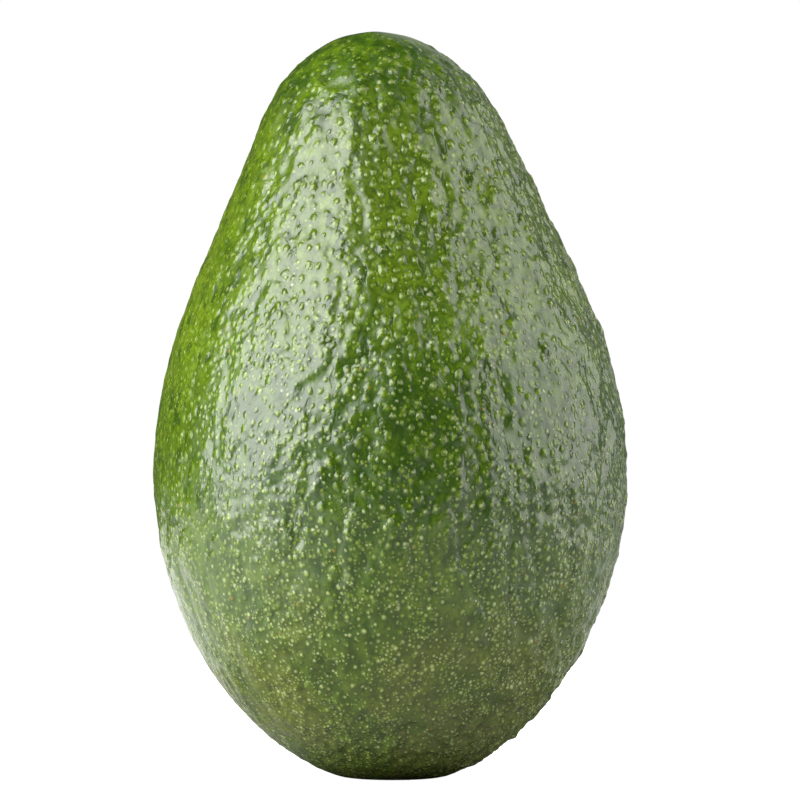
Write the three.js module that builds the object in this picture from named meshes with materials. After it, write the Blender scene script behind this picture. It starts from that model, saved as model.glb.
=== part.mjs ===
// A whole green avocado, pear shaped with a pebbled skin, standing on its blunt end as picked.
// Millimetres, +Z up. The origin is under the middle of the fruit, on the small flat spot that it
// stands on, and the front of the fruit faces -Y.
import * as THREE from "three";

const { degToRad, euclideanModulo, smoothstep } = THREE.MathUtils;

// Driving dimensions of the fruit
const HEIGHT = 112;
const BELLY_RADIUS = 35.7;
const BELLY_HEIGHT = 46.5;
const DEPTH_SHARE = 0.975; // front to back, as a share of the width
const FOOT_RADIUS = 7;
const NECK_RADIUS = 19.1;
const NECK_HEIGHT = 96.6;
const NECK_SLOPE = degToRad(23.5); // of the skin there, from upright

// How far each curve of the outline keeps its direction at its ends
const REACH = { foot: 4.5, belowBelly: 33, aboveBelly: 17.7, belowNeck: 19, aboveNeck: 13.2, rim: 1.6 };

// The stem end: a raised rim round a shallow hollow, which holds the woody stem button
const RIM_RADIUS = 4.2;
const HOLLOW_RADIUS = 3.6;
const HOLLOW_DEPTH = 1.6;
const BUTTON_RADIUS = 3.2;
const BUTTON_HEIGHT = 1.1;
const SEAT_GAP = 0.3;

// The neck leans a little to the left and back, and the blunt end stands a little to the right
const NECK_LEAN = { from: 50, left: 2.0, back: 1.0 };
const FOOT_LEAN = { to: 20, right: 0.6 };

// Broad unevenness: lobes round the body, and ridges and furrows that run down from the stem end
const LOBES = [
  { count: 2, height: 0.3, turn: 0.6 },
  { count: 3, height: 0.28, turn: 1.9 },
  { count: 5, height: 0.14, turn: 0.3 },
];
const LOBE_SPAN = { foot: 2, footFull: 24, topFull: 96, top: 108 };
const RIDGES = [
  { azimuth: -14, width: 6, height: 0.45 },
  { azimuth: 5, width: 7, height: -0.35 },
  { azimuth: 52, width: 8, height: 0.3 },
  { azimuth: 118, width: 9, height: 0.35 },
  { azimuth: 176, width: 8, height: 0.4 },
  { azimuth: 238, width: 9, height: 0.35 },
  { azimuth: 300, width: 8, height: 0.3 },
];
const RIDGE_SPAN = { foot: 58, footFull: 84, topFull: 100, top: 109 };

// Pebbles: the small raised bumps all over the skin, shown larger than life
const PEBBLE = { spacing: 3.9, radius: 2.5, height: 0.5, leastShare: 0.6, tries: 12000 };
const PEBBLE_SPAN = { foot: 1, footFull: 6, topFull: 105, top: 110.5 };
const SEED = 20261;

// The skin is rings of points about one step apart, with at least this many points in each
const STEP = 2.15;
const LEAST_POINTS = 20;

// Repeatable random numbers from 0 to 1, by the mulberry32 rule
function randomFrom(seed) {
  let state = seed;
  return () => {
    state = (state + 0x6d2b79f5) | 0;
    let mixed = Math.imul(state ^ (state >>> 15), 1 | state);
    mixed = (mixed + Math.imul(mixed ^ (mixed >>> 7), 61 | mixed)) ^ mixed;
    return ((mixed ^ (mixed >>> 14)) >>> 0) / 4294967296;
  };
}

// The half outline as radius and height: foot, belly, neck, rim and the stem hollow
function outline() {
  const at = (radius, height) => new THREE.Vector2(radius, height);
  const slope = at(Math.sin(NECK_SLOPE), -Math.cos(NECK_SLOPE));
  const foot = at(FOOT_RADIUS, 0);
  const belly = at(BELLY_RADIUS, BELLY_HEIGHT);
  const neck = at(NECK_RADIUS, NECK_HEIGHT);
  const rim = at(RIM_RADIUS, HEIGHT);
  const floor = HEIGHT - HOLLOW_DEPTH;
  const curves = [
    new THREE.CubicBezierCurve(
      foot,
      at(FOOT_RADIUS + REACH.foot, 0),
      at(BELLY_RADIUS, BELLY_HEIGHT - REACH.belowBelly),
      belly,
    ),
    new THREE.CubicBezierCurve(
      belly,
      at(BELLY_RADIUS, BELLY_HEIGHT + REACH.aboveBelly),
      neck.clone().addScaledVector(slope, REACH.belowNeck),
      neck,
    ),
    new THREE.CubicBezierCurve(
      neck,
      neck.clone().addScaledVector(slope, -REACH.aboveNeck),
      at(RIM_RADIUS + REACH.rim, HEIGHT),
      rim,
    ),
  ];
  const rowStep = (STEP * Math.sqrt(3)) / 2;
  const skin = curves.flatMap((curve) =>
    curve.getSpacedPoints(Math.round(curve.getLength() / rowStep)).slice(1),
  );
  return [
    at(0, 0),
    at(FOOT_RADIUS / 2, 0),
    foot,
    ...skin,
    at((RIM_RADIUS + HOLLOW_RADIUS) / 2, HEIGHT - HOLLOW_DEPTH / 4),
    at(HOLLOW_RADIUS, floor),
    at(HOLLOW_RADIUS / 2, floor),
    at(0, floor),
  ];
}

// The points of one ring, evenly spaced, with every second ring turned by half a step
function ringAt({ x: radius, y: height }, number) {
  const count = radius === 0 ? 1 : Math.max(LEAST_POINTS, Math.round((2 * Math.PI * radius) / STEP));
  const turn = number % 2 === 0 ? 0 : 0.5;
  const points = Array.from({ length: count }, (_, k) => {
    const azimuth = (2 * Math.PI * (k + turn)) / count;
    return new THREE.Vector3(radius * Math.sin(azimuth), -radius * Math.cos(azimuth), height);
  });
  return { count, turn, points };
}

// The triangles between two neighbouring rings, as indices into all the points
function bandBetween(lower, upper) {
  const triangles = [];
  const corner = (ring, k) => ring.first + (k % ring.count);
  const share = (ring, k) => (k < ring.count ? (k + 1 + ring.turn) / ring.count : Infinity);
  let low = 0;
  let high = 0;
  while (low < lower.count || high < upper.count) {
    const lowGoes = share(lower, low) <= share(upper, high);
    if (lowGoes && lower.count > 1) {
      triangles.push(corner(lower, low), corner(lower, low + 1), corner(upper, high));
    }
    if (!lowGoes && upper.count > 1) {
      triangles.push(corner(lower, low), corner(upper, high + 1), corner(upper, high));
    }
    low += lowGoes ? 1 : 0;
    high += lowGoes ? 0 : 1;
  }
  return triangles;
}

// The closed surface that the outline makes as it goes round the axis
function revolved(profile) {
  const rings = profile.map(ringAt);
  rings.reduce((first, ring) => {
    ring.first = first;
    return first + ring.count;
  }, 0);
  const bands = rings.slice(1).flatMap((ring, n) => bandBetween(rings[n], ring));
  const surface = new THREE.BufferGeometry();
  surface.setFromPoints(rings.flatMap((ring) => ring.points));
  surface.setIndex(bands);
  return surface;
}

// From 0 to 1 above the foot of a span of heights, and back to 0 at its top
function within(span, height) {
  return smoothstep(height, span.foot, span.footFull) * (1 - smoothstep(height, span.topFull, span.top));
}

// Moves every point outwards along the surface's normal by what relief says for it
function raise(surface, relief) {
  surface.computeVertexNormals();
  const { position, normal } = surface.attributes;
  const point = new THREE.Vector3();
  const outward = new THREE.Vector3();
  for (let i = 0; i < position.count; i++) {
    point.fromBufferAttribute(position, i);
    outward.fromBufferAttribute(normal, i);
    point.addScaledVector(outward, relief(point));
    position.setXYZ(i, point.x, point.y, point.z);
  }
}

function broadRelief(point) {
  const azimuth = Math.atan2(point.x, -point.y);
  const lobes = LOBES.reduce(
    (sum, lobe) => sum + lobe.height * Math.cos(lobe.count * azimuth + lobe.turn),
    0,
  );
  const ridges = RIDGES.reduce((sum, ridge) => {
    const away = euclideanModulo(azimuth - degToRad(ridge.azimuth) + Math.PI, 2 * Math.PI) - Math.PI;
    return sum + ridge.height * Math.exp(-((away / degToRad(ridge.width)) ** 2));
  }, 0);
  return within(LOBE_SPAN, point.z) * lobes + within(RIDGE_SPAN, point.z) * ridges;
}

// Crowns of the pebbles: points of the skin drawn at random, none closer than the spacing
function pebbleCrowns(surface, random) {
  const { position } = surface.attributes;
  const crowns = [];
  for (let n = 0; n < PEBBLE.tries; n++) {
    const index = Math.floor(random() * position.count);
    const place = new THREE.Vector3().fromBufferAttribute(position, index);
    const share = PEBBLE.leastShare + (1 - PEBBLE.leastShare) * random();
    const crowded = crowns.some((crown) => crown.place.distanceTo(place) < PEBBLE.spacing);
    if (!crowded && within(PEBBLE_SPAN, place.z) > 0) {
      crowns.push({ place, height: PEBBLE.height * share });
    }
  }
  return crowns;
}

// The height of the tallest pebble at a point, each one a low dome round its crown
function pebbleRelief(crowns, point) {
  const heights = crowns.map(({ place, height }) => {
    const share = Math.min(1, place.distanceTo(point) / PEBBLE.radius);
    return height * (1 - share * share) ** 2;
  });
  return within(PEBBLE_SPAN, point.z) * Math.max(...heights);
}

// How far the middle of the fruit stands off the axis at a height
function leanAt(height) {
  const neck = Math.max(0, (height - NECK_LEAN.from) / (HEIGHT - NECK_LEAN.from)) ** 2;
  const foot = Math.max(0, 1 - height / FOOT_LEAN.to) ** 2;
  return new THREE.Vector3(foot * FOOT_LEAN.right - neck * NECK_LEAN.left, neck * NECK_LEAN.back, 0);
}

// Narrows the surface from front to back and leans it, then sets its box over the origin
function flattenAndLean(surface) {
  const { position } = surface.attributes;
  const point = new THREE.Vector3();
  for (let i = 0; i < position.count; i++) {
    point.fromBufferAttribute(position, i);
    point.y *= DEPTH_SHARE;
    point.add(leanAt(point.z));
    position.setXYZ(i, point.x, point.y, point.z);
  }
  surface.computeBoundingBox();
  const offset = surface.boundingBox.getCenter(new THREE.Vector3()).setZ(0);
  surface.translate(-offset.x, -offset.y, 0);
  return offset;
}

function fruitMesh(surface) {
  const skin = new THREE.MeshStandardMaterial({
    color: new THREE.Color(0.27, 0.44, 0.1),
    roughness: 0.35,
    metalness: 0,
  });
  surface.computeVertexNormals();
  const mesh = new THREE.Mesh(surface, skin);
  mesh.name = "fruit";
  return mesh;
}

// The dry, woody end of the stem: a low disc, dimpled where the stalk broke off
function buttonMesh() {
  const profile = [
    [0, 0],
    [0.9, 0],
    [1, 0.25],
    [1, 0.7],
    [0.8, 0.95],
    [0.55, 1],
    [0.3, 0.8],
    [0, 0.7],
  ].map(([radius, height]) => new THREE.Vector2(radius * BUTTON_RADIUS, height * BUTTON_HEIGHT));
  const disc = revolved(profile);
  disc.computeVertexNormals();
  const wood = new THREE.MeshStandardMaterial({
    color: new THREE.Color(0.36, 0.25, 0.14),
    roughness: 0.8,
    metalness: 0,
  });
  const mesh = new THREE.Mesh(disc, wood);
  mesh.name = "stem_button";
  return mesh;
}

const surface = revolved(outline());
raise(surface, broadRelief);
const crowns = pebbleCrowns(surface, randomFrom(SEED));
raise(surface, (point) => pebbleRelief(crowns, point));
const offset = flattenAndLean(surface);

const button = buttonMesh();
button.position.copy(leanAt(HEIGHT - HOLLOW_DEPTH)).sub(offset);
button.position.z = HEIGHT - HOLLOW_DEPTH + SEAT_GAP;

const avocado = new THREE.Group();
avocado.add(fruitMesh(surface), button);

export default avocado;
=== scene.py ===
# The looks of a whole green avocado that stands on its blunt end, with its front facing -Y.
# Shapes are worked out in millimetres from a few driving dimensions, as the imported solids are,
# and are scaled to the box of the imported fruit. Blender's own units are metres.
import math

import bpy
import numpy as np
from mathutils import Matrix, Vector, kdtree, noise


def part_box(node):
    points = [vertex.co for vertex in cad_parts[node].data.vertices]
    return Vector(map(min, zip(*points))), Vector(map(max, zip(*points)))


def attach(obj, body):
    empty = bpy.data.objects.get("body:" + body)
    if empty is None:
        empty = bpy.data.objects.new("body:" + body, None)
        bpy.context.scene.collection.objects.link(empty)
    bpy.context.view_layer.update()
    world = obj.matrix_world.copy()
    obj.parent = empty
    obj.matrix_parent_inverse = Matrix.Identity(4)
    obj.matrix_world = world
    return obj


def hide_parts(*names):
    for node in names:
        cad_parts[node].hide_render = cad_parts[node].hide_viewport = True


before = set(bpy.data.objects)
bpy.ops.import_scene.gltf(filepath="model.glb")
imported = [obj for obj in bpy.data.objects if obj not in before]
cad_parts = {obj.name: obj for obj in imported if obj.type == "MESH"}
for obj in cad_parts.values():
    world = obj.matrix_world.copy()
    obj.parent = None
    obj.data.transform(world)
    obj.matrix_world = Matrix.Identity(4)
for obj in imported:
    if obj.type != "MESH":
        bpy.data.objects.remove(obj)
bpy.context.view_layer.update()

# Driving dimensions of the fruit, in millimetres
HEIGHT = 112.0
BELLY_RADIUS = 35.7
BELLY_HEIGHT = 46.5
DEPTH_SHARE = 0.975
FOOT_RADIUS = 7.0
NECK_RADIUS = 19.1
NECK_HEIGHT = 96.6
NECK_SLOPE = math.radians(23.5)
REACH = {"foot": 4.5, "below_belly": 33, "above_belly": 17.7, "below_neck": 19, "above_neck": 13.2}
RIM_RADIUS = 4.2
RIM_REACH = 1.6
HOLLOW_RADIUS = 3.6
HOLLOW_DEPTH = 1.6
HOLLOW_FILLET = 0.5
RIM_DIP = {  # how much lower the rim stands at its left and right than at its front and back
    "depth": 0.55,
    "sharpness": 1.5,
    "heights": (HEIGHT - 8, HEIGHT - 1),
    "radii": (HOLLOW_RADIUS - 0.6, RIM_RADIUS),
}
NECK_LEAN = {"from": 50, "left": 2.0, "back": 1.0}
FOOT_LEAN = {"to": 20, "right": 0.6}

# Broad unevenness: lobes round the body, and ridges and furrows that run down from the stem end
LOBES = [(2, 0.30, 0.6), (3, 0.28, 1.9), (5, 0.14, 0.3)]  # count, height, turn
LOBE_SPAN = (2, 24, 96, 108)
RIDGES = [  # azimuth and width in degrees, height
    (-14, 6, 0.20),
    (5, 7, -0.20),
    (52, 8, 0.30),
    (118, 9, 0.35),
    (176, 8, 0.40),
    (238, 9, 0.35),
    (300, 8, 0.30),
]
RIDGE_SPAN = (58, 84, 100, 109)

# Fine unevenness, drawn out along the fruit: size across and along it in millimetres, and height
LUMPS = {"across": 4.0, "along": 6.5, "seed": 1.5, "height": 0.30}
RIPPLES = {"across": 1.9, "along": 2.8, "seed": 7.1, "height": 0.20}
GRAINS = {"across": 1.2, "along": 1.5, "seed": 41.7, "height": 0.17, "more_at_foot": 1.6, "foot": (4, 26)}
STREAKS = {"across": 1.9, "along": 4.5, "seed": 27.3, "height": 0.20}
FURROWS = {"across": 4.4, "along": 13.0, "seed": 13.7, "depth": 0.28, "width": 0.18, "sharpness": 1.5}
PATCHES = {"across": 11.0, "along": 17.0, "seed": 21.9, "edge": (-0.25, 0.25)}  # where furrows are
COPY_RADIUS = {"least": 10, "share": 0.7}  # of the cylinder-like copy of the skin with their noise
LUMP_SPAN = (1.0, 9, 106, 112)
GRAIN_SPAN = (0.3, 3, 110, 112)
STREAK_SPAN = (60, 84, 101, 107)
LUMP_SHARE = ((0, 0.9), (15, 1.1), (35, 1.1), (55, 1.0), (112, 1.0))  # height, share of the full relief
SIDES = (  # azimuths in degrees of a flank's span, and how much more uneven it is than the rest
    ((-170, -130, -52, -20), -0.4),
    ((8, 36, 110, 150), 0.25),
)
CREASES = [  # azimuth in degrees, height, length, width, depth
    (-22.5, 38, 12, 0.8, 0.55),
    (-12.0, 31, 8, 0.7, 0.45),
]
CREASE_WOBBLE = {"reach": 0.5, "turn": 1.3}

# Pebbles: low domes all over the skin, drawn out along the fruit. The tables give height, value
PEBBLE_SPACING = ((0, 0.85), (20, 0.88), (45, 0.92), (75, 1.05), (112, 1.35))
PEBBLE_RADIUS = ((0, 0.40), (20, 0.44), (45, 0.52), (75, 0.60), (112, 0.66))
PEBBLE_STEEPNESS = (
    (0, 0.20), (18, 0.26), (30, 0.26), (45, 0.25), (60, 0.25), (75, 0.29), (104, 0.28), (112, 0.12),
)
PEBBLE_SIZES = (0.6, 1.35)
PEBBLE_SIZE_POWER = 1.4  # above 1, so that small ones are more common
PEBBLE_HEIGHTS = (0.6, 1.2)
PEBBLE_STRETCH = 1.3
PEBBLE_MESH_SHARE = 0.5  # of a pebble's height that the mesh has; the rest is in the material
PEBBLE_GROUPS = {"across": 3.0, "along": 5.5, "seed": 31.3}  # where they crowd
GROUP_EDGES = {"pebbles": (-0.35, 0.35), "spots": (-0.3, 0.3)}
GROUP_SPACING = (0.9, 1.5)

# Spots: the small yellow-green dots, one on each pebble and others mostly beside it
SPOT_SPACING = ((0, 0.40), (20, 0.42), (45, 0.46), (75, 0.55), (112, 0.60))
SPOT_RADIUS = ((0, 0.115), (18, 0.165), (32, 0.165), (50, 0.14), (80, 0.17), (112, 0.17))
SPOT_SIZES = (0.6, 1.8)
SPOT_SIZE_POWER = 2.5
SPOT_ON_PEBBLE = 1.05  # how much larger it is than one between the pebbles
SPOT_SHARES = ((0, 0.09), (25, 0.08), (50, 0.06), (80, 0.025), (112, 0.015))  # between the pebbles
SPOT_GROUP_SHARE = 0.16  # beside the middle of a pebble
SPOT_GROUP_EDGE = (0.6, 1.3)  # in radii of the pebble
SPOT_PATCHES = (2.0, 0.1)  # how many more spots where pebbles crowd, and how few where they don't
SPOT_SPAN = (0.05, 0.8, 105, 111.5)
SPOT_TRIES = 3  # places tried for each that would just fit

# The skin's mesh: rings of points about one step apart
STEPS = ((0, 0.44), (30, 0.49), (60, 0.54), (90, 0.56), (112, 0.56))
HOLLOW_STEP = 0.5
LEAST_POINTS = 12
JITTER = 0.16
PROFILE_POINTS = 200
RIM_POINT = 4 * PROFILE_POINTS
SEED = 20261

# The skin's material: colours as linear red, green and blue, and how much of each is laid on
COLOURS = {
    "deep": (0.024, 0.063, 0.0008, 1),
    "fresh": (0.052, 0.105, 0.0015, 1),
    "bright": (0.094, 0.164, 0.003, 1),
    "dark": (0.015, 0.042, 0.0004, 1),
    # The next two are painted light: lighter greens up the neck and on the left flank, where the light
    # falls
    "neck": (0.13, 0.19, 0.004, 1),
    "painted_light_flank": (0.13, 0.205, 0.003, 1),
    "olive": (0.092, 0.134, 0.010, 1),
    "tan": (0.130, 0.136, 0.022, 1),
    # ring and pebble: a darker green round each pebble and a lighter one on it, each partly the skin's
    # own colour and partly painted shade in the valley and painted light on the crown
    "ring": (0.015, 0.038, 0.0004, 1),
    "pebble": (0.112, 0.175, 0.005, 1),
    # furrow and gash: darker greens, painted shade in the furrows and gashes
    "painted_furrow_shade": (0.025, 0.058, 0.001, 1),
    "gash": (0.016, 0.042, 0.0004, 1),
    "speck": (0.20, 0.28, 0.02, 1),
    "spot": (0.17, 0.225, 0.035, 1),
    "pale_spot": (0.34, 0.39, 0.18, 1),
    "blunt_spot": (0.45, 0.50, 0.19, 1),
    "brown_spot": (0.22, 0.115, 0.015, 1),
    "bark": (0.045, 0.022, 0.010, 1),
    "cork": (0.21, 0.125, 0.060, 1),
    "pale_cork": (0.26, 0.19, 0.10, 1),
}
# In these shares the neck's and the left flank's lighter greens are painted light and the middle band's
# darker green is painted shade; the furrows and gashes are painted shade, the rings partly painted shade
# and the pebbles partly painted light
SHARES = {
    "neck": 0.28,
    "painted_light_flank": 0.45,
    "painted_shade_waist": 0.4,
    "blunt": 0.6,
    "ring": 0.55,
    "pebble": 0.75,
    "painted_furrow_shade": 0.5,
    "gash": 0.75,
    "blunt_spot": 0.7,
}
# Noise in the materials: scale per metre, then detail and roughness where they aren't the usual ones
NOISES = {
    "spot_edge": (2600.0,),
    "pebble_edge": (1500.0, 1.0),
    "veins": (260.0, 1.0),
    "vein_patches": (190.0, 1.0),
    "gashes": (520.0, 1.0),
    "blotches": (90.0, 4.0, 0.6),
    "mottle": (420.0, 4.0, 0.65),
    "sheen": (450.0, 3.0),
    "waves": (520.0, 1.0),
    "small_waves": (1200.0, 1.0),
    "dust": (3000.0, 2.0, 0.6),
    "fibres": (2200.0, 4.0, 0.65),
    "cork": (700.0, 3.0, 0.5),
}
# Soft changes: the value at the start and at the end, and the results there if they aren't 0 and 1
RAMPS = {
    "above_foot": (0.010, 0.050, 0.45, 1.0),
    "below_rim": (0.1115, 0.102),
    "neck_foot": (0.056, 0.078),
    "neck_top": (0.106, 0.097),
    # Where the painted shade round the middle is
    "painted_shade_waist_foot": (0.028, 0.044),
    "painted_shade_waist_top": (0.066, 0.052),
    "blunt": (0.048, 0.006),
    # Where the painted light on the left flank is: across, then up
    "painted_light_side": (-0.018, -0.033),
    "painted_light_height": (0.026, 0.046),
    "spot": (1.6, 0.2),
    "pebble": (0.9, 0.1),
    "ring": (0.55, 0.0),
    "moat": (0.4, 0.0),
    "spot_lift": (2.0, 0.5),
    "speck": (0.08, -0.02),
    "speck_kept": (0.1, 0.9),
    "speck_lift": (0.5, 0.0),
    "vein": (0.03, 0.0, 0.0, 0.35),
    "vein_patch": (0.50, 0.65),
    "gash": (0.56, 0.66),
    "fresh": (0.35, 0.65),
    "bright": (0.45, 0.68, 0.0, 0.75),
    "dark": (0.50, 0.34, 0.0, 0.75),
    "tan": (0.42, 0.60),
    "pale_spot": (0.2, 1.0),
    "brown_spot": (0.985, 0.99),
    "spot_strength": (0.1, 1.1, 0.2, 1.0),
    "sheen": (0.3, 0.7, 0.23, 0.29),
    "cork": (0.35, 0.65),
    "pale_cork": (0.45, 0.65, 0.0, 0.7),
    "dull": (0.3, 0.7, 0.65, 0.9),
}
# What places are multiplied by, so that a pattern is drawn out along the fruit
SQUASH = {
    "vein_patches": (1, 1, 0.32),
    "specks": (1, 1, 0.75),
    "warped": (1, 1, 0.7),
    "gashes": (1, 1, 0.6),
}
WARP = {"scale": 420.0, "detail": 1.0, "reach": 0.0016}
SPOT_EDGE = {"wander": 0.7, "least": 0.65}
PEBBLE_EDGE = {"wander": 1.4, "least": 0.3}
SPOT_STRETCH = 1.1
SPOT_GREY_TURNS = 37.0  # makes a second random number of a spot's first
SPOT_STRENGTH = {"more_at_blunt_end": 0.36, "with_relief": 0.6, "least": 0.4}
SPECK_SCALE = 1300.0
SPECK_SIZE = {"wander": 0.14, "least": 0.12}
SPECK_STRENGTH = {"more_at_blunt_end": 0.1, "least": 0.6}
# Middle of the darker ring round each pebble, partly painted shade
SHADE_RING_MIDDLE = 1.2  # in radii of the pebble
MOAT = {"middle": 1.05, "depth": 0.05}  # in radii of the pebble, and a share of its height
DOME = {"fall": 2.0, "sharpness": 1.8, "height": 1.6}
SPOT_LIFT = 0.1  # of the spot's radius
# Heights in the material's relief, in metres
LIFTS = {"speck": 0.00001, "gash": 0.00004, "wave": 0.00006, "small_wave": 0.00002, "dust": 0.000013}
SKIN_IOR = 1.6

# The stem end: shares of its radius and of its thickness
END_SIDES = 72
END_RINGS = 22
END_WALL = ((0.5, 0), (0.9, 0), (1, 0.15), (1, 0.4), (0.99, 0.58))  # radius, level from the underside
END_TOP = {"radius": 0.97, "reach": 0.86, "level": 0.93, "middle": 0.6, "above_wall": 0.5}
END_OUTLINE = {"least": 0.985, "wobble": 0.03, "turns": 2, "seed": 5.1}
END_DIMPLE = {"depth": 0.3, "radius": 0.22}
END_GROOVE = {"depth": 0.12, "radius": 0.55, "width": 0.07}
END_EDGE = {"depth": 0.2, "span": (0.8, 1.0)}
END_RAYS = {"depth": 0.07, "turns": 7, "along": 1.5}
END_CRUMBS = {"depth": 0.05, "scale": 1900}
END_ROUGH_SPAN = (0.82, 0.97)
WOOD_BUMP = {"strength": 0.8, "height": 0.00015}

# The photograph, which is square, and how many millimetres one of its pixels shows
PHOTO_SIDE = 800
PIXEL = 0.15044
PHOTO_FOOT_ROW = 777
PHOTO_MIDDLE_COLUMN = 390.3
CAMERA_DISTANCE = 0.95
CAMERA_ELEVATION = math.radians(1.5)
CAMERA_CLIP = (0.01, 100)
SENSOR = 36.0

# The floor, in metres: how pale it is, and how much light it sends up on the left and right
FLOOR_RADIUS = 0.30
FLOOR_SIDES = 96
FLOOR_LEVEL = -0.0001  # just below the fruit's flat foot
# Painted shadow: the floor is darker within the first distance, right under the fruit
FLOOR_TONE_AND_PAINTED_SHADOW = (0.009, 0.021, 0.04, 0.38)  # distance, distance, shade at the first and at the second
FLOOR_GLOW = 1.0  # as the camera sees it
FLOOR_LIT = {"left": (0.0, -0.09, 0.0, 1.2), "right": (0.0, 0.09, 0.0, 0.3)}  # across, then light
FLOOR_UNLIT = (0.03, 0.06)  # distances within which it sends up none, and from which all of it

# The studio, in degrees: the edges of each panel as the fruit sees them, and how soft each edge is
LEFT_PANEL = {
    "outer": (-93, 3),
    "inner": (-36, 30),
    "top": (80, 44),
    "bottom": (-24, 24),  # at the outer edge and at the inner one
    "light": 7.8,
}
RIGHT_PANEL = {
    "outer": (130, 12),
    "inner": (60, 14),
    "top": (68, 30),
    "bottom": (-24, -18),
    "light": 3.05,
}
PANEL_BOTTOM_SOFT = 10
RIGHT_TINT = (1.0, 0.995, 0.95)
BEHIND = {"turn": (132, 165), "rise": (55, 35), "light": 0.5}
DIM_LIGHT = 0.055


def smooth_rise(value, start, end):
    """From 0 at start to 1 at end, with a soft beginning and ending."""
    share = np.clip((value - start) / (end - start), 0, 1)
    return share * share * (3 - 2 * share)


def within(span, height):
    """1 between the middle two heights of a span, and 0 outside its first and last."""
    return smooth_rise(height, span[0], span[1]) * (1 - smooth_rise(height, span[2], span[3]))


def along(table, height):
    """A value that changes evenly between the heights in a table of (height, value)."""
    return np.interp(height, *zip(*table))


def curve(start, first, second, end):
    """Points of a cubic Bezier curve, without its first one."""
    t = np.linspace(0, 1, PROFILE_POINTS + 1)[1:, None]
    points = [np.array(p, float) for p in (start, first, second, end)]
    weights = [(1 - t) ** 3, 3 * t * (1 - t) ** 2, 3 * t * t * (1 - t), t ** 3]
    return sum(weight * point for weight, point in zip(weights, points))


def line(start, end):
    """Points of a straight line, without its first one."""
    t = np.linspace(0, 1, PROFILE_POINTS + 1)[1:, None]
    return (1 - t) * np.array(start, float) + t * np.array(end, float)


def profile():
    """The half outline as radius and height, from the middle of the foot to that of the hollow."""
    slope = np.array([math.sin(NECK_SLOPE), -math.cos(NECK_SLOPE)])
    foot = np.array([FOOT_RADIUS, 0])
    belly = np.array([BELLY_RADIUS, BELLY_HEIGHT])
    neck = np.array([NECK_RADIUS, NECK_HEIGHT])
    rim = np.array([RIM_RADIUS, HEIGHT])
    across = np.array([1, 0])
    up = np.array([0, 1])
    floor = HEIGHT - HOLLOW_DEPTH
    wall_top = np.array([HOLLOW_RADIUS, HEIGHT - HOLLOW_FILLET])
    wall_foot = np.array([HOLLOW_RADIUS, floor + HOLLOW_FILLET])
    floor_edge = np.array([HOLLOW_RADIUS - HOLLOW_FILLET, floor])
    return np.vstack([
        [[0, 0]],
        line((0, 0), foot),
        curve(foot, foot + REACH["foot"] * across, belly - REACH["below_belly"] * up, belly),
        curve(belly, belly + REACH["above_belly"] * up, neck + REACH["below_neck"] * slope, neck),
        curve(neck, neck - REACH["above_neck"] * slope, rim + RIM_REACH * across, rim),
        curve(rim, (HOLLOW_RADIUS, HEIGHT), (HOLLOW_RADIUS, HEIGHT), wall_top),
        line(wall_top, wall_foot),
        curve(wall_foot, (HOLLOW_RADIUS, floor), (HOLLOW_RADIUS, floor), floor_edge),
        line(floor_edge, (0, floor)),
    ])


def skin_rings(path, chance):
    """The skin's points by ring: place on the profile, share of the turn and azimuth of each."""
    lengths = np.concatenate([[0], np.cumsum(np.linalg.norm(np.diff(path, axis=0), axis=1))])
    steps = along(STEPS, path[:, 1])
    inside = (path[:, 0] < RIM_RADIUS) & (path[:, 1] > HEIGHT / 2)
    steps = np.where(inside, HOLLOW_STEP, steps)
    row_step = steps * math.sqrt(3) / 2
    gaps = np.diff(lengths) / ((row_step[1:] + row_step[:-1]) / 2)
    rows = np.concatenate([[0], np.cumsum(gaps)])
    count = round(rows[-1])
    places = np.interp(np.linspace(0, rows[-1], count + 1), rows, lengths)
    rings = []
    for number, place in enumerate(places):
        radius = np.interp(place, lengths, path[:, 0])
        step = np.interp(place, lengths, steps)
        pole = number in (0, count)
        points = 1 if pole else max(LEAST_POINTS, round(2 * math.pi * radius / step))
        turn = 0.5 * (number % 2)
        shares = (np.arange(points) + turn) / points
        # The points are a little out of place, apart from the poles and those in the hollow
        loose = 0 if pole or place > lengths[RIM_POINT] - step else JITTER * step
        drift = chance.uniform(-loose, loose, points)
        swing = chance.uniform(-loose, loose, points) / max(radius, step)
        rings.append({
            "place": place + drift,
            "share": shares,
            "azimuth": math.pi + 2 * math.pi * shares + swing,
        })
    return rings, lengths


def band(lower, upper, first_lower, first_upper):
    """Triangles between two neighbouring rings, and the share of the turn at each corner."""
    def corner(ring, first, k):
        count = len(ring["share"])
        return first + k % count, ring["share"][k % count] + k // count

    def next_share(ring, k):
        count = len(ring["share"])
        return ring["share"][0] + (k + 1) / count if k < count else math.inf

    triangles = []
    low = high = 0
    sizes = len(lower["share"]), len(upper["share"])
    while low < sizes[0] or high < sizes[1]:
        low_goes = next_share(lower, low) <= next_share(upper, high)
        here = corner(lower, first_lower, low), corner(upper, first_upper, high)
        if low_goes and sizes[0] > 1:
            triangles.append((here[0], corner(lower, first_lower, low + 1), here[1]))
        if not low_goes and sizes[1] > 1:
            triangles.append((here[0], corner(upper, first_upper, high + 1), here[1]))
        low += low_goes
        high += not low_goes
    return triangles


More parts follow.
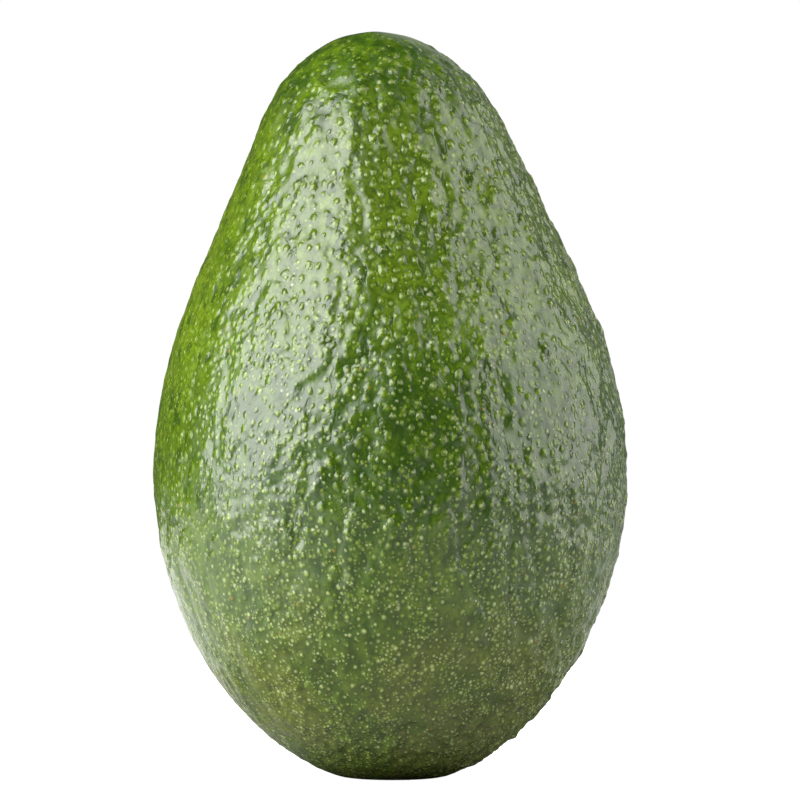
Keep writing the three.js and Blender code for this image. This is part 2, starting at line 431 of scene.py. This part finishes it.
def smooth_skin(rings, lengths, path):
    """The skin's points without relief, their normals, places, azimuths, radii and heights."""
    place = np.concatenate([ring["place"] for ring in rings])
    azimuth = np.concatenate([ring["azimuth"] for ring in rings])
    radius = np.interp(place, lengths, path[:, 0])
    height = np.interp(place, lengths, path[:, 1])
    direction = np.gradient(path, lengths, axis=0)
    flat = np.interp(place, lengths, direction[:, 1])
    rise = -np.interp(place, lengths, direction[:, 0])
    outward = np.stack([flat * np.sin(azimuth), -flat * np.cos(azimuth), rise], 1)
    outward /= np.linalg.norm(outward, axis=1)[:, None]
    points = np.stack([radius * np.sin(azimuth), -radius * np.cos(azimuth), height], 1)
    azimuth = (azimuth + math.pi) % (2 * math.pi) - math.pi
    return points, outward, place, azimuth, radius, height


def broad_relief(azimuth, height):
    """Lobes and ridges, outwards from the smooth form."""
    lobes = sum(tall * np.cos(count * azimuth + turn) for count, tall, turn in LOBES)
    ridges = 0
    for middle, width, tall in RIDGES:
        away = (azimuth - math.radians(middle) + math.pi) % (2 * math.pi) - math.pi
        ridges = ridges + tall * np.exp(-((away / math.radians(width)) ** 2))
    return within(LOBE_SPAN, height) * lobes + within(RIDGE_SPAN, height) * ridges


def unevenness(azimuth):
    """How strong the relief is at an azimuth, as a share of the usual."""
    return 1 + sum(more * within(span, np.degrees(azimuth)) for span, more in SIDES)


def grain(points, kind):
    """Smooth noise from about -1 to 1 over places on the skin, drawn out along the fruit."""
    scale = Vector((1 / kind["across"], 1 / kind["across"], 1 / kind["along"]))
    start = Vector((kind["seed"], 2 * kind["seed"], 3 * kind["seed"]))
    return np.array([noise.noise(Vector(p) * scale + start) for p in points])


def crease_depth(radius, azimuth, height):
    """How deep the long creases are."""
    depth = 0
    wobble = CREASE_WOBBLE["reach"] * np.sin(height * CREASE_WOBBLE["turn"])
    for turn, middle, length, width, deep in CREASES:
        across = radius * (azimuth - math.radians(turn)) + wobble
        share = (height - middle) / (length / 2)
        depth = depth + deep * np.exp(-((across / width) ** 2)) * np.clip(1 - share ** 2, 0, 1)
    return depth


def fine_relief(radius, azimuth, height):
    """The relief of all that is smaller than a ridge but the pebbles, and how deep the furrows are."""
    # Noise on a cylinder-like copy of the skin, so that the grain runs towards the stem end
    reach = COPY_RADIUS["least"] + COPY_RADIUS["share"] * radius
    places = np.stack([reach * np.sin(azimuth), -reach * np.cos(azimuth), height], 1)
    furrows = np.clip(1 - np.abs(grain(places, FURROWS)) / FURROWS["width"], 0, 1)
    furrows = furrows ** FURROWS["sharpness"] * smooth_rise(grain(places, PATCHES), *PATCHES["edge"])
    relief = LUMPS["height"] * grain(places, LUMPS) + RIPPLES["height"] * grain(places, RIPPLES)
    relief = relief - FURROWS["depth"] * furrows
    relief = relief + STREAKS["height"] * (grain(places, STREAKS) * within(STREAK_SPAN, height))
    grains = grain(places, GRAINS) * within(GRAIN_SPAN, height)
    grains = grains * (1 + GRAINS["more_at_foot"] * (1 - smooth_rise(height, *GRAINS["foot"])))
    fade = within(LUMP_SPAN, height) * along(LUMP_SHARE, height)
    relief = fade * (relief - crease_depth(radius, azimuth, height)) + GRAINS["height"] * grains
    return unevenness(azimuth) * relief, fade * furrows


def lean_at(height):
    """How far the middle of the fruit stands off the axis at a height."""
    neck = np.clip((height - NECK_LEAN["from"]) / (HEIGHT - NECK_LEAN["from"]), 0, None) ** 2
    foot = np.clip(1 - height / FOOT_LEAN["to"], 0, None) ** 2
    return foot * FOOT_LEAN["right"] - neck * NECK_LEAN["left"], neck * NECK_LEAN["back"]


def try_places(points, outside, faces, chance):
    """Random places on the skin, as many as the spots may need: their faces, weights and points."""
    a, b, c = (points[faces[:, k]] for k in range(3))
    areas = np.linalg.norm(np.cross(b - a, c - a), axis=1) / 2
    height = (a + b + c)[:, 2] / 3
    wanted = areas * outside[faces].all(1) * within(SPOT_SPAN, height) / along(SPOT_SPACING, height) ** 2
    tries = int(SPOT_TRIES * wanted.sum())
    chosen = chance.choice(len(faces), tries, p=wanted / wanted.sum())
    weights = chance.dirichlet((1, 1, 1), tries)
    return chosen, weights, sum(weights[:, k, None] * points[faces[chosen, k]] for k in range(3))


def spaced(places, spacing, order, wanted):
    """The places kept when they are gone through in order and each keeps the others away."""
    tree = tree_of(places)
    taken = np.zeros(len(places), bool)
    kept = []
    for index in order:
        if wanted[index] and not taken[index]:
            kept.append(index)
            for _, near, _ in tree.find_range(places[index], spacing[index]):
                taken[near] = True
    return np.array(kept)


def squeezed(points):
    """The points with the fruit's height made less, so that a drawn-out pebble becomes round."""
    return points / (1, 1, PEBBLE_STRETCH)


def tree_of(points):
    """A search tree that finds the points nearest to a place."""
    tree = kdtree.KDTree(len(points))
    for index, point in enumerate(points):
        tree.insert(point, index)
    tree.balance()
    return tree


def spread_pebbles(places, groups, chance):
    """Which of the places are the middles of pebbles, and the pebbles' radii and steepness."""
    looseness = np.interp(groups, GROUP_EDGES["pebbles"], GROUP_SPACING)
    spacing = along(PEBBLE_SPACING, places[:, 2]) * looseness
    everywhere = np.ones(len(places), bool)
    chosen = spaced(squeezed(places), spacing, range(len(places)), everywhere)
    height = places[chosen, 2]
    sizes = np.interp(chance.random(len(chosen)) ** PEBBLE_SIZE_POWER, (0, 1), PEBBLE_SIZES)
    steepness = along(PEBBLE_STEEPNESS, height) * chance.uniform(*PEBBLE_HEIGHTS, len(chosen))
    return chosen, along(PEBBLE_RADIUS, height) * sizes, steepness


def nearest_pebble(points, tree, radii):
    """The pebble nearest to each point, and how far away it is as a share of its radius."""
    found = [tree.find(point) for point in squeezed(points)]
    number = np.array([index for _, index, _ in found])
    return number, np.array([away for _, _, away in found]) / radii[number]


def spread_spots(places, groups, pebbles, beside, chance):
    """Which of the places are spots, and their radii: one on each pebble, and some between them."""
    share = SPOT_GROUP_SHARE * (1 - smooth_rise(beside, *SPOT_GROUP_EDGE))
    share = np.maximum(share, along(SPOT_SHARES, places[:, 2]))
    share = share * np.interp(groups, GROUP_EDGES["spots"], SPOT_PATCHES)
    wanted = chance.random(len(places)) < share
    wanted[pebbles] = True
    order = np.concatenate([pebbles, np.setdiff1d(np.arange(len(places)), pebbles)])
    chosen = spaced(places, along(SPOT_SPACING, places[:, 2]), order, wanted)
    sizes = np.interp(chance.random(len(chosen)) ** SPOT_SIZE_POWER, (0, 1), SPOT_SIZES)
    sizes[np.isin(chosen, pebbles)] *= SPOT_ON_PEBBLE
    return chosen, along(SPOT_RADIUS, places[chosen, 2]) * sizes


def settle(points, azimuth, radius, height):
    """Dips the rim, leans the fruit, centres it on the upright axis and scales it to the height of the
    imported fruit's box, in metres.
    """
    near_rim = smooth_rise(height, *RIM_DIP["heights"]) * smooth_rise(radius, *RIM_DIP["radii"])
    points[:, 2] -= RIM_DIP["depth"] * np.abs(np.sin(azimuth)) ** RIM_DIP["sharpness"] * near_rim
    points[:, 1] *= DEPTH_SHARE
    right, back = lean_at(points[:, 2])
    points[:, 0] += right
    points[:, 1] += back
    points[:, 2] = np.clip(points[:, 2], 0, HEIGHT)
    middle = (points.min(0) + points.max(0)) / 2
    points -= (middle[0], middle[1], 0)
    low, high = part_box("fruit")
    metres = (high.z - low.z) / HEIGHT
    points *= metres
    return metres


def build_skin():
    """The pebbled skin as one closed mesh, with the marks nearest to each face stored on it."""
    chance = np.random.default_rng(SEED)
    path = profile()
    rings, lengths = skin_rings(path, chance)
    firsts = np.concatenate([[0], np.cumsum([len(ring["share"]) for ring in rings])])
    corners = []
    for lower, upper, start, end in zip(rings, rings[1:], firsts, firsts[1:]):
        corners.extend(band(lower, upper, start, end))
    faces = np.array([[vertex for vertex, _ in triangle] for triangle in corners])
    points, outward, place, azimuth, radius, height = smooth_skin(rings, lengths, path)
    outside = place < lengths[RIM_POINT]
    relief, furrows = fine_relief(radius, azimuth, height)
    points += (outside * (broad_relief(azimuth, height) + relief))[:, None] * outward

    tried_faces, weights, places = try_places(points, outside, faces, chance)
    groups = grain(places, PEBBLE_GROUPS)
    pebbles, pebble_radii, steepness = spread_pebbles(places, groups, chance)
    tree = tree_of(squeezed(places[pebbles]))
    beside = nearest_pebble(places, tree, pebble_radii)[1]
    spots, spot_radii = spread_spots(places, groups, pebbles, beside, chance)
    number, away = nearest_pebble(points, tree, pebble_radii)
    domes = (steepness * pebble_radii)[number] * np.clip(1 - away ** 2, 0, 1) ** 2 * unevenness(azimuth)
    points += (PEBBLE_MESH_SHARE * outside * domes)[:, None] * outward
    metres = settle(points, azimuth, radius, height)

    mesh = bpy.data.meshes.new("avocado_skin")
    mesh.from_pydata(points.tolist(), [], faces.tolist())
    mesh.shade_smooth()
    add_map(mesh, corners, place / lengths[-1], firsts)
    centres = sum(weights[:, k, None] * points[faces[tried_faces, k]] for k in range(3))
    middles = points[faces].mean(1)
    nearest = nearest_of(middles, centres[spots])
    tints = chance.random(len(spots))
    add_marks(mesh, "spot", nearest, centres[spots], spot_radii * metres, tints)
    nearest = nearest_of(squeezed(middles), squeezed(centres[pebbles]))
    add_marks(mesh, "pebble", nearest, centres[pebbles], pebble_radii * metres, steepness)
    for name, values in (("painted_furrow_shade", furrows), ("unevenness", unevenness(azimuth))):
        attribute = mesh.attributes.new(name, "FLOAT", "POINT")
        attribute.data.foreach_set("value", values.astype(np.float32))
    skin = bpy.data.objects.new("avocado_skin", mesh)
    bpy.context.scene.collection.objects.link(skin)
    return skin, metres


def add_map(mesh, corners, up, firsts):
    """A flat map of the skin: the turn from the back runs across it, and the profile up it."""
    ends = {0, int(firsts[-2])}
    layer = mesh.uv_layers.new(name="OFBake")
    widest = max(share for triangle in corners for _, share in triangle)
    places = []
    for triangle in corners:
        shares = [share for vertex, share in triangle if vertex not in ends]
        mean = sum(shares) / len(shares)
        for vertex, share in triangle:
            places.append((mean if vertex in ends else share) / widest)
            places.append(min(1, max(0, up[vertex])))
    layer.uv.foreach_set("vector", places)


def nearest_of(points, centres):
    """Which of the centres is nearest to each point."""
    tree = tree_of(centres)
    return np.array([tree.find(point)[1] for point in points])


def add_marks(mesh, name, nearest, centres, radii, own):
    """Stores the centre, the radius and one more number of the mark nearest to each face."""
    shapes = np.stack([radii, own, np.zeros(len(own))], 1)
    for part, values in (("_centre", centres), ("_shape", shapes)):
        attribute = mesh.attributes.new(name + part, "FLOAT_VECTOR", "FACE")
        attribute.data.foreach_set("vector", values[nearest].astype(np.float32).ravel())


class Nodes:
    """Short forms for the nodes of one material or world."""

    def __init__(self, tree):
        self.tree = tree
        tree.nodes.clear()

    def add(self, kind, **settings):
        node = self.tree.nodes.new(kind)
        for name, value in settings.items():
            setattr(node, name, value)
        return node

    def set(self, node, **inputs):
        for name, value in inputs.items():
            socket = node.inputs[name.replace("_", " ")]
            self.feed(socket, value)
        return node

    def feed(self, socket, value):
        if isinstance(value, bpy.types.NodeSocket):
            self.tree.links.new(value, socket)
        else:
            socket.default_value = value

    def place(self):
        return self.add("ShaderNodeTexCoord").outputs["Object"]

    def attribute(self, name, output="Fac"):
        return self.add("ShaderNodeAttribute", attribute_name=name).outputs[output]

    def parts(self, vector):
        node = self.add("ShaderNodeSeparateXYZ")
        self.feed(node.inputs[0], vector)
        return node.outputs

    def math(self, operation, *values):
        node = self.add("ShaderNodeMath", operation=operation)
        for socket, value in zip(node.inputs, values):
            self.feed(socket, value)
        return node.outputs[0]

    def times(self, first, second):
        return self.math("MULTIPLY", first, second)

    def apart(self, first, second):
        return self.math("ABSOLUTE", self.math("SUBTRACT", first, second))

    def vector(self, operation, first, second=None):
        node = self.add("ShaderNodeVectorMath", operation=operation)
        self.feed(node.inputs[0], first)
        if second is not None:
            self.feed(node.inputs["Scale" if operation == "SCALE" else 1], second)
        return node.outputs["Value" if operation == "LENGTH" else "Vector"]

    def ramp(self, value, start, end, low=0.0, high=1.0):
        node = self.add("ShaderNodeMapRange", interpolation_type="SMOOTHSTEP")
        for socket, number in zip(node.inputs, (value, start, end, low, high)):
            self.feed(socket, number)
        return node.outputs["Result"]

    def mix(self, share, first, second):
        node = self.add("ShaderNodeMix", data_type="RGBA", blend_type="MIX")
        self.feed(node.inputs["Factor"], share)
        self.feed(node.inputs[6], first)
        self.feed(node.inputs[7], second)
        return node.outputs[2]

    def noise(self, place, scale, detail=2.0, roughness=0.5):
        node = self.add("ShaderNodeTexNoise")
        self.set(node, Vector=place, Scale=scale, Detail=detail, Roughness=roughness)
        return node.outputs["Fac"]

    def bump(self, height, strength, distance):
        node = self.add("ShaderNodeBump")
        self.set(node, Strength=strength, Distance=distance, Height=height)
        return node.outputs["Normal"]

    def finish(self, kind, surface):
        self.feed(self.add(kind).inputs["Surface"], surface)


def new_material(name):
    """An empty material, and the short forms for its nodes."""
    material = bpy.data.materials.new(name)
    material.use_nodes = True
    return material, Nodes(material.node_tree)


def nearest_mark(n, place, name, stretch, edge, edge_noise):
    """How far the nearest spot or pebble is, in its radii, and its radius and one more number."""
    offset = n.vector("SUBTRACT", place, n.attribute(name + "_centre", "Vector"))
    radius, own, _ = n.parts(n.attribute(name + "_shape", "Vector"))
    length = n.vector("LENGTH", n.vector("MULTIPLY", offset, (1, 1, 1 / stretch)))
    wander = n.math("MULTIPLY_ADD", n.noise(place, *edge_noise), edge["wander"], edge["least"])
    return n.times(n.math("DIVIDE", length, radius), wander), radius, own


def skin_regions(n, height, across):
    """Where the neck and the left flank, which get painted light, the band round the middle, which gets
    painted shade, and the blunt end are, from 0 to 1.
    """
    return {
        "neck": n.times(n.ramp(height, *RAMPS["neck_foot"]), n.ramp(height, *RAMPS["neck_top"])),
        "painted_light_flank": n.times(n.ramp(across, *RAMPS["painted_light_side"]), n.ramp(height, *RAMPS["painted_light_height"])),
        "painted_shade_waist": n.times(n.ramp(height, *RAMPS["painted_shade_waist_foot"]), n.ramp(height, *RAMPS["painted_shade_waist_top"])),
        "blunt": n.ramp(height, *RAMPS["blunt"]),
    }


def skin_gashes(n, place, warped, body):
    """Short gashes that run up the fruit, and fine veins in patches: sunk in the relief and darkened with
    painted shade.
    """
    patches = n.noise(n.vector("MULTIPLY", place, SQUASH["vein_patches"]), *NOISES["vein_patches"])
    veins = n.ramp(n.apart(n.noise(warped, *NOISES["veins"]), 0.5), *RAMPS["vein"])
    veins = n.times(veins, n.ramp(patches, *RAMPS["vein_patch"]))
    gashes = n.noise(n.vector("MULTIPLY", warped, SQUASH["gashes"]), *NOISES["gashes"])
    return n.times(n.math("MAXIMUM", n.ramp(gashes, *RAMPS["gash"]), veins), body)


def skin_specks(n, place):
    """Specks finer than the spots: how strong each is, and how far its middle is."""
    cells = n.add("ShaderNodeTexVoronoi")
    n.set(cells, Vector=n.vector("MULTIPLY", place, SQUASH["specks"]), Scale=SPECK_SCALE)
    away = cells.outputs["Distance"]
    shape = n.add("ShaderNodeSeparateColor")
    n.feed(shape.inputs[0], cells.outputs["Color"])
    size = n.math("MULTIPLY_ADD", shape.outputs[0], SPECK_SIZE["wander"], SPECK_SIZE["least"])
    speck = n.ramp(n.math("SUBTRACT", away, size), *RAMPS["speck"])
    return n.times(speck, n.ramp(shape.outputs[1], *RAMPS["speck_kept"])), away


def skin_green(n, place, warped, regions):
    """Mottled green, with painted light as a lighter green up the neck and on the left flank, painted
    shade as a darker green round the middle, and olive at the blunt end.
    """
    blotches = n.noise(place, *NOISES["blotches"])
    mottle = n.noise(warped, *NOISES["mottle"])
    green = n.mix(n.ramp(blotches, *RAMPS["fresh"]), COLOURS["deep"], COLOURS["fresh"])
    green = n.mix(n.ramp(mottle, *RAMPS["bright"]), green, COLOURS["bright"])
    green = n.mix(n.ramp(mottle, *RAMPS["dark"]), green, COLOURS["dark"])
    olive = n.mix(n.ramp(blotches, *RAMPS["tan"]), COLOURS["olive"], COLOURS["tan"])
    # Painted light up the neck and on the left flank, and painted shade round the middle
    tops = {"neck": COLOURS["neck"], "painted_light_flank": COLOURS["painted_light_flank"], "painted_shade_waist": COLOURS["dark"], "blunt": olive}
    for region, colour in tops.items():
        green = n.mix(n.times(regions[region], SHARES[region]), green, colour)
    return green


def spot_colour(n, tint, blunt):
    """Most spots are yellow-green, some paler, and a few have gone brown."""
    pale = n.mix(n.ramp(tint, *RAMPS["pale_spot"]), COLOURS["spot"], COLOURS["pale_spot"])
    pale = n.mix(n.times(blunt, SHARES["blunt_spot"]), pale, COLOURS["blunt_spot"])
    return n.mix(n.ramp(tint, *RAMPS["brown_spot"]), pale, COLOURS["brown_spot"])


def spot_strength(n, tint, blunt, uneven):
    """How strong each spot's colour is, which is more at the blunt end and on the uneven flank."""
    grey = n.math("FRACT", n.times(tint, SPOT_GREY_TURNS))
    strength = n.ramp(grey, *RAMPS["spot_strength"])
    strength = n.math("ADD", strength, n.times(blunt, SPOT_STRENGTH["more_at_blunt_end"]))
    flank = n.math("MULTIPLY_ADD", uneven, SPOT_STRENGTH["with_relief"], SPOT_STRENGTH["least"])
    return n.math("MINIMUM", n.times(strength, flank), 1.0)


def pebble_lift(n, away, radius, steepness):
    """The part of a pebble's dome that the mesh hasn't, with a shallow moat round it."""
    tall = n.times(n.times(radius, steepness), 1 - PEBBLE_MESH_SHARE)
    dome = n.math("SUBTRACT", 1.0, n.math("MINIMUM", 1.0, n.math("POWER", away, DOME["fall"])))
    dome = n.times(n.math("POWER", dome, DOME["sharpness"]), n.times(tall, DOME["height"]))
    moat = n.times(n.ramp(n.apart(away, MOAT["middle"]), *RAMPS["moat"]), n.times(tall, MOAT["depth"]))
    return n.math("SUBTRACT", dome, moat)


def skin_material():
    """Glossy green skin with yellow-green spots, painted shade in the furrows and an olive blunt end."""
    material, n = new_material("avocado_skin")
    place = n.place()
    across, _, height = n.parts(place)
    uneven = n.attribute("unevenness")
    body = n.times(n.ramp(height, *RAMPS["above_foot"]), n.ramp(height, *RAMPS["below_rim"]))
    warp = n.add("ShaderNodeTexNoise")
    n.set(warp, Vector=place, Scale=WARP["scale"], Detail=WARP["detail"])
    drift = n.vector("SUBTRACT", warp.outputs["Color"], (0.5, 0.5, 0.5))
    warped = n.vector("ADD", place, n.vector("SCALE", drift, WARP["reach"]))
    warped = n.vector("MULTIPLY", warped, SQUASH["warped"])

    regions = skin_regions(n, height, across)
    gash = skin_gashes(n, place, warped, body)
    speck, speck_away = skin_specks(n, place)
    away, size, tint = nearest_mark(n, place, "spot", SPOT_STRETCH, SPOT_EDGE, NOISES["spot_edge"])
    pebble_away, pebble_size, steepness = nearest_mark(
        n, place, "pebble", PEBBLE_STRETCH, PEBBLE_EDGE, NOISES["pebble_edge"])

    # Colour: the green, painted light and shade on the relief (lighter pebble crowns, darker rings,
    # furrows and gashes), then specks and spots on top
    # Painted shade in the valley round each pebble, partly the skin's own darker green
    ring = n.times(n.ramp(n.apart(pebble_away, SHADE_RING_MIDDLE), *RAMPS["ring"]), body)
    tops = {
        "ring": n.times(ring, uneven),
        # Painted light on each pebble's crown, partly the skin's own lighter green
        "pebble": n.ramp(pebble_away, *RAMPS["pebble"]),
        # Painted shade: darker green in the furrows and gashes
        "painted_furrow_shade": n.attribute("painted_furrow_shade"),
        "gash": gash,
    }
    colour = skin_green(n, place, warped, regions)
    for top, share in tops.items():
        colour = n.mix(n.times(share, SHARES[top]), colour, COLOURS[top])
    blunt = regions["blunt"]
    strength = n.math("MULTIPLY_ADD", blunt, SPECK_STRENGTH["more_at_blunt_end"], SPECK_STRENGTH["least"])
    colour = n.mix(n.times(speck, strength), colour, COLOURS["speck"])
    strength = n.times(n.ramp(away, *RAMPS["spot"]), spot_strength(n, tint, blunt, uneven))
    colour = n.mix(strength, colour, spot_colour(n, tint, blunt))

    # Relief in metres
    lift = pebble_lift(n, pebble_away, pebble_size, steepness)
    lift = n.math("ADD", lift, n.times(n.ramp(away, *RAMPS["spot_lift"]), n.times(size, SPOT_LIFT)))
    lift = n.math("ADD", lift, n.times(n.ramp(speck_away, *RAMPS["speck_lift"]), LIFTS["speck"]))
    lift = n.math("SUBTRACT", lift, n.times(gash, LIFTS["gash"]))
    wave = n.times(n.noise(warped, *NOISES["waves"]), LIFTS["wave"])
    small_wave = n.noise(warped, *NOISES["small_waves"])
    wave = n.times(n.math("MULTIPLY_ADD", small_wave, LIFTS["small_wave"], wave), body)
    dust = n.times(n.noise(place, *NOISES["dust"]), LIFTS["dust"])
    lift = n.math("ADD", lift, n.math("ADD", dust, wave))
    normal = n.bump(n.times(lift, uneven), 1.0, 1.0)

    rough = n.ramp(n.noise(place, *NOISES["sheen"]), *RAMPS["sheen"])
    shader = n.add("ShaderNodeBsdfPrincipled")
    n.set(shader, Base_Color=colour, Roughness=rough, Normal=normal, IOR=SKIN_IOR)
    n.finish("ShaderNodeOutputMaterial", shader.outputs[0])
    return material


def end_level(share):
    """How high the stem end's top is at a share of its radius, as a share of its thickness."""
    dimple = END_DIMPLE["depth"] * math.exp(-((share / END_DIMPLE["radius"]) ** 2))
    groove_away = (share - END_GROOVE["radius"]) / END_GROOVE["width"]
    groove = END_GROOVE["depth"] * math.exp(-(groove_away ** 2))
    edge = END_EDGE["depth"] * smooth_rise(share, *END_EDGE["span"])
    return END_TOP["level"] - dimple - groove - edge


def build_button():
    """The dry woody end of the stem, with rays, a groove, a worn edge and a dimple in its middle."""
    low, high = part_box("stem_button")
    middle = (low + high) / 2
    radius = (high.x - low.x) / 2
    thick = high.z - low.z
    points = [(middle.x, middle.y, low.z)]

    def ring(share, level):
        first = len(points)
        for k in range(END_SIDES):
            turn = 2 * math.pi * k / END_SIDES
            toward = Vector((math.cos(turn), math.sin(turn), 0))
            wobble = noise.noise(toward * END_OUTLINE["turns"] + Vector((0, 0, END_OUTLINE["seed"])))
            reach = share * radius * (END_OUTLINE["least"] + END_OUTLINE["wobble"] * wobble)
            rays = noise.noise(toward * END_RAYS["turns"] + Vector((0, 0, END_RAYS["along"] * share)))
            crumbs = noise.noise(toward * reach * END_CRUMBS["scale"])
            rough = (level > END_TOP["above_wall"]) * (1 - smooth_rise(share, *END_ROUGH_SPAN))
            drop = thick * rough * (END_RAYS["depth"] * rays + END_CRUMBS["depth"] * crumbs)
            up = low.z + min(thick, thick * level + drop)
            points.append((middle.x + reach * toward.x, middle.y + reach * toward.y, up))
        return first

    firsts = [ring(share, level) for share, level in END_WALL]
    for k in range(END_RINGS):
        share = END_TOP["radius"] - END_TOP["reach"] * k / END_RINGS
        firsts.append(ring(share, end_level(share)))
    last = len(points)
    points.append((middle.x, middle.y, low.z + END_TOP["middle"] * thick))
    faces = []
    for k in range(END_SIDES):
        after = (k + 1) % END_SIDES
        faces.append((0, firsts[0] + after, firsts[0] + k))
        for lower, upper in zip(firsts, firsts[1:]):
            faces.append((lower + k, lower + after, upper + after, upper + k))
        faces.append((last, firsts[-1] + k, firsts[-1] + after))
    mesh = bpy.data.meshes.new("stem_end")
    mesh.from_pydata(points, [], faces)
    mesh.shade_smooth()
    button = bpy.data.objects.new("stem_end", mesh)
    bpy.context.scene.collection.objects.link(button)
    return button


def wood_material():
    """Dry, corky brown with dark fibres and paler blotches."""
    material, n = new_material("stem_end")
    place = n.place()
    fibres = n.noise(place, *NOISES["fibres"])
    blotches = n.noise(place, *NOISES["cork"])
    brown = n.mix(n.ramp(fibres, *RAMPS["cork"]), COLOURS["bark"], COLOURS["cork"])
    brown = n.mix(n.ramp(blotches, *RAMPS["pale_cork"]), brown, COLOURS["pale_cork"])
    normal = n.bump(fibres, WOOD_BUMP["strength"], WOOD_BUMP["height"])
    shader = n.add("ShaderNodeBsdfPrincipled")
    n.set(shader, Base_Color=brown, Roughness=n.ramp(blotches, *RAMPS["dull"]), Normal=normal)
    n.finish("ShaderNodeOutputMaterial", shader.outputs[0])
    return material


def build_floor():
    """A plain pale round floor with a painted shadow right under the fruit, that sends some light up at
    its sides.
    """
    mesh = bpy.data.meshes.new("floor")
    turns = [2 * math.pi * k / FLOOR_SIDES for k in range(FLOOR_SIDES)]
    edge = [(FLOOR_RADIUS * math.cos(turn), FLOOR_RADIUS * math.sin(turn), FLOOR_LEVEL) for turn in turns]
    mesh.from_pydata(edge, [], [tuple(range(FLOOR_SIDES))])
    floor = bpy.data.objects.new("floor", mesh)
    bpy.context.scene.collection.objects.link(floor)
    material, n = new_material("floor")
    place = n.place()
    across = n.parts(place)[0]
    away = n.vector("LENGTH", place)
    pale = n.add("ShaderNodeBsdfDiffuse")
    # Painted shadow: the floor's colour is darker right under the fruit
    n.set(pale, Color=n.vector("SCALE", (1, 1, 1), n.ramp(away, *FLOOR_TONE_AND_PAINTED_SHADOW)))
    lit = n.math("ADD", n.ramp(across, *FLOOR_LIT["left"]), n.ramp(across, *FLOOR_LIT["right"]))
    lit = n.times(lit, n.ramp(away, *FLOOR_UNLIT))
    seen = n.add("ShaderNodeLightPath").outputs["Is Camera Ray"]
    glow = n.add("ShaderNodeEmission")
    n.set(glow, Strength=n.math("MULTIPLY_ADD", seen, FLOOR_GLOW, lit))
    both = n.add("ShaderNodeAddShader")
    n.feed(both.inputs[0], pale.outputs[0])
    n.feed(both.inputs[1], glow.outputs[0])
    n.finish("ShaderNodeOutputMaterial", both.outputs[0])
    mesh.materials.append(material)


def panel(n, turn, rise, shape):
    """The light of a tall panel with soft edges, whose bottom may change from side to side."""
    outer, outer_soft = (math.radians(angle) for angle in shape["outer"])
    inner, inner_soft = (math.radians(angle) for angle in shape["inner"])
    top, top_soft = (math.radians(angle) for angle in shape["top"])
    bottom = [math.radians(angle) for angle in shape["bottom"]]
    soft = math.radians(PANEL_BOTTOM_SOFT)
    side = 1 if outer > inner else -1
    far = n.ramp(turn, outer, outer - side * outer_soft)
    near = n.ramp(turn, inner - side * inner_soft, inner)
    low = n.ramp(turn, outer, inner - side * inner_soft, *bottom)
    high = n.ramp(rise, top, top - top_soft)
    high = n.times(high, n.ramp(n.math("SUBTRACT", rise, low), -soft, soft))
    return n.times(n.times(far, near), n.times(high, shape["light"]))


def build_light():
    """A dim studio with a tall bright panel on the left, a duller one on the right, and a faint one
    behind. The camera itself sees plain white."""
    world = bpy.data.worlds.new("studio")
    bpy.context.scene.world = world
    world.use_nodes = True
    n = Nodes(world.node_tree)
    x, y, z = n.parts(n.add("ShaderNodeTexCoord").outputs["Generated"])
    turn = n.math("ARCTAN2", x, n.times(y, -1.0))
    rise = n.math("ARCSINE", z)
    left = panel(n, turn, rise, LEFT_PANEL)
    right = panel(n, turn, rise, RIGHT_PANEL)
    behind = n.times(n.ramp(turn, *map(math.radians, BEHIND["turn"])), BEHIND["light"])
    behind = n.times(behind, n.ramp(rise, *map(math.radians, BEHIND["rise"])))
    plain = n.math("ADD", n.math("ADD", left, behind), DIM_LIGHT)
    light = n.vector("ADD", n.vector("SCALE", (1, 1, 1), plain), n.vector("SCALE", RIGHT_TINT, right))
    seen = n.add("ShaderNodeLightPath").outputs["Is Camera Ray"]
    background = n.add("ShaderNodeBackground")
    n.feed(background.inputs["Color"], n.mix(seen, light, (1, 1, 1, 1)))
    n.finish("ShaderNodeOutputWorld", background.outputs[0])
    bpy.context.scene.view_settings.view_transform = "Standard"


def build_camera(metres):
    """Looks at the front from the photograph's side, framed as the photograph is."""
    frame_width = PHOTO_SIDE * PIXEL * metres
    aim = Vector((
        (PHOTO_SIDE / 2 - PHOTO_MIDDLE_COLUMN) * PIXEL * metres,
        0,
        (PHOTO_FOOT_ROW - PHOTO_SIDE / 2) * PIXEL * metres,
    ))
    back = Vector((0, -math.cos(CAMERA_ELEVATION), math.sin(CAMERA_ELEVATION)))
    data = bpy.data.cameras.new("camera")
    data.sensor_width = SENSOR
    data.lens = SENSOR * CAMERA_DISTANCE / frame_width
    data.clip_start, data.clip_end = CAMERA_CLIP
    camera = bpy.data.objects.new("camera", data)
    bpy.context.scene.collection.objects.link(camera)
    camera.location = aim + back * CAMERA_DISTANCE
    camera.rotation_mode = "QUATERNION"
    camera.rotation_quaternion = (-back).to_track_quat("-Z", "Y")
    bpy.context.scene.camera = camera


skin, metres = build_skin()
skin.data.materials.append(skin_material())
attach(skin, "root")
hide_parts("fruit")

button = build_button()
button.data.materials.append(wood_material())
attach(button, "root")
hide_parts("stem_button")

build_floor()
build_light()
build_camera(metres)
